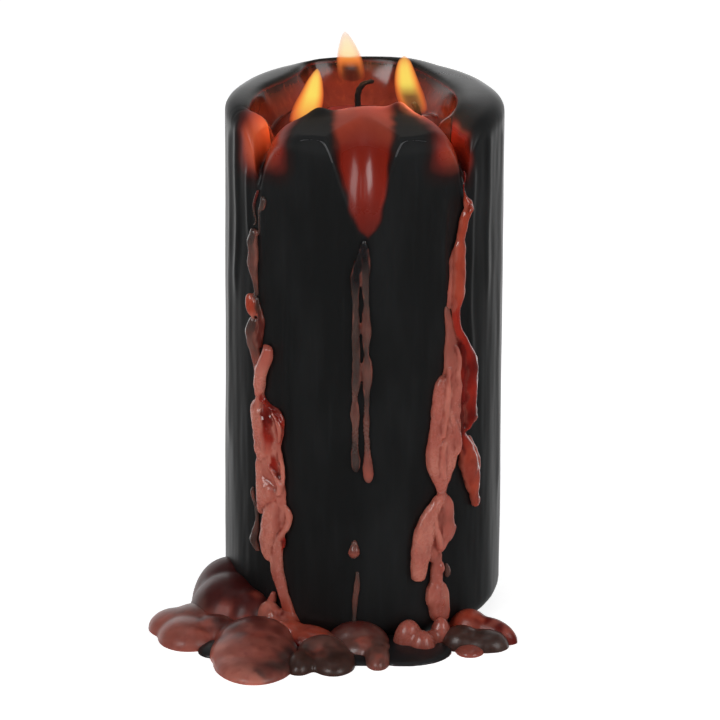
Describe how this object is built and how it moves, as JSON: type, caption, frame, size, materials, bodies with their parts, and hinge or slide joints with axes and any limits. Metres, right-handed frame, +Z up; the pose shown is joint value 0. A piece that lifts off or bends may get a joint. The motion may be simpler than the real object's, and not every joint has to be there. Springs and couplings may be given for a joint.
{
  "type": "melted candle",
  "caption": "Thick black pillar candle, lit and half melted, with a deep bowl, red wax runs down its wall and puddles of set wax round its foot.",
  "frame": {"origin": "centre of the pillar's flat underside, on the surface it stands on", "axes": "+Z up along the pillar's axis; -Y towards the side that melted and ran; +X to the right seen from that side"},
  "size_m": [0.1317, 0.14, 0.2094],
  "materials": {
    "black_wax": "satin",
    "pink_wax": "satin",
    "red_wax": "gloss",
    "wine_wax": "gloss",
    "brown_wax": "satin",
    "molten_wax": "gloss",
    "charred_wick": "matte",
    "wick_foot": "satin",
    "flame": "matte"
  },
  "bodies": {
    "root": {"candle_body": "black_wax", "melt_pool": "molten_wax", "wick_back": "charred_wick", "wick_left": "charred_wick", "wick_right": "charred_wick", "wick_foot_back": "wick_foot", "wick_foot_left": "wick_foot", "wick_foot_right": "wick_foot", "flame_back": "flame", "flame_left": "flame", "flame_right": "flame", "left_run": "pink_wax", "left_side_run": "brown_wax", "right_run": "pink_wax", "red_run": "red_wax", "centre_run": "brown_wax", "centre_tear": "pink_wax", "centre_thread": "pink_wax", "black_puddle": "black_wax", "left_puddle": "pink_wax", "front_puddle": "pink_wax", "wine_puddle": "wine_wax", "left_foot": "pink_wax", "brown_puddle": "brown_wax", "centre_puddle": "brown_wax", "right_puddle": "brown_wax", "pink_puddle": "pink_wax", "red_puddle": "red_wax", "curl": "pink_wax"}
  },
  "joints": []
}
